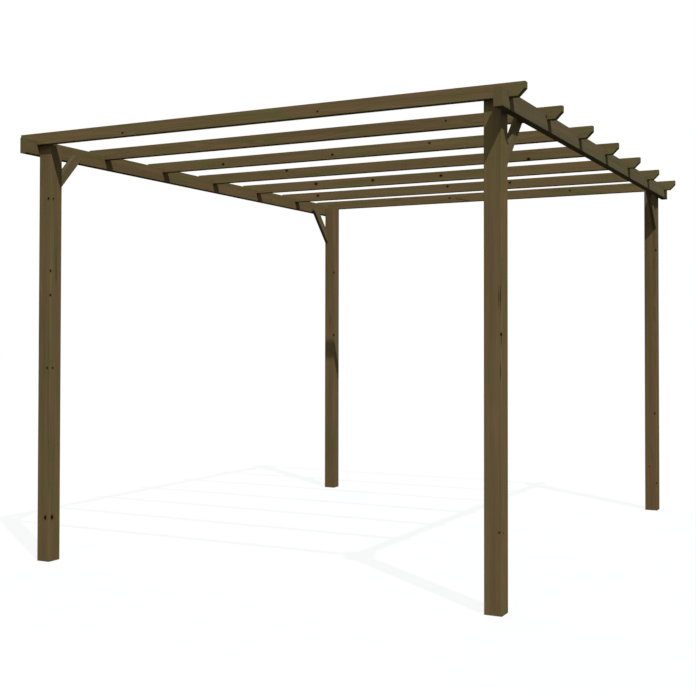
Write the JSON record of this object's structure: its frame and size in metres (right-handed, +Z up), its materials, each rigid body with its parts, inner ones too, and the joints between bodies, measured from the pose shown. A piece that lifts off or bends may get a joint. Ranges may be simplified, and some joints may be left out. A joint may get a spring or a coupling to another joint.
{
  "type": "wooden pergola",
  "caption": "Free-standing open timber pergola: square posts, side beams on knee braces, and notched rafters with cut ends.",
  "frame": {"origin": "on the ground, at the middle of the plan of the four posts", "axes": "+Z up; -Y towards the front, the near end in the picture; +X to the right seen from the front; rafters along X, beams along Y"},
  "size_m": [3.13, 3.79, 2.513],
  "materials": {
    "post_timber": "weathered brown stain, matt",
    "beam_timber": "weathered brown stain, matt",
    "rafter_timber": "weathered brown stain, matt",
    "brace_timber": "weathered brown stain, matt"
  },
  "bodies": {
    "root": {"front_left_post": "post_timber", "front_right_post": "post_timber", "back_left_post": "post_timber", "back_right_post": "post_timber", "left_beam": "beam_timber", "right_beam": "beam_timber", "rafter_1": "rafter_timber", "rafter_2": "rafter_timber", "rafter_3": "rafter_timber", "rafter_4": "rafter_timber", "rafter_5": "rafter_timber", "rafter_6": "rafter_timber", "rafter_7": "rafter_timber", "front_left_brace": "brace_timber", "front_right_brace": "brace_timber", "back_left_brace": "brace_timber", "back_right_brace": "brace_timber"}
  },
  "joints": []
}
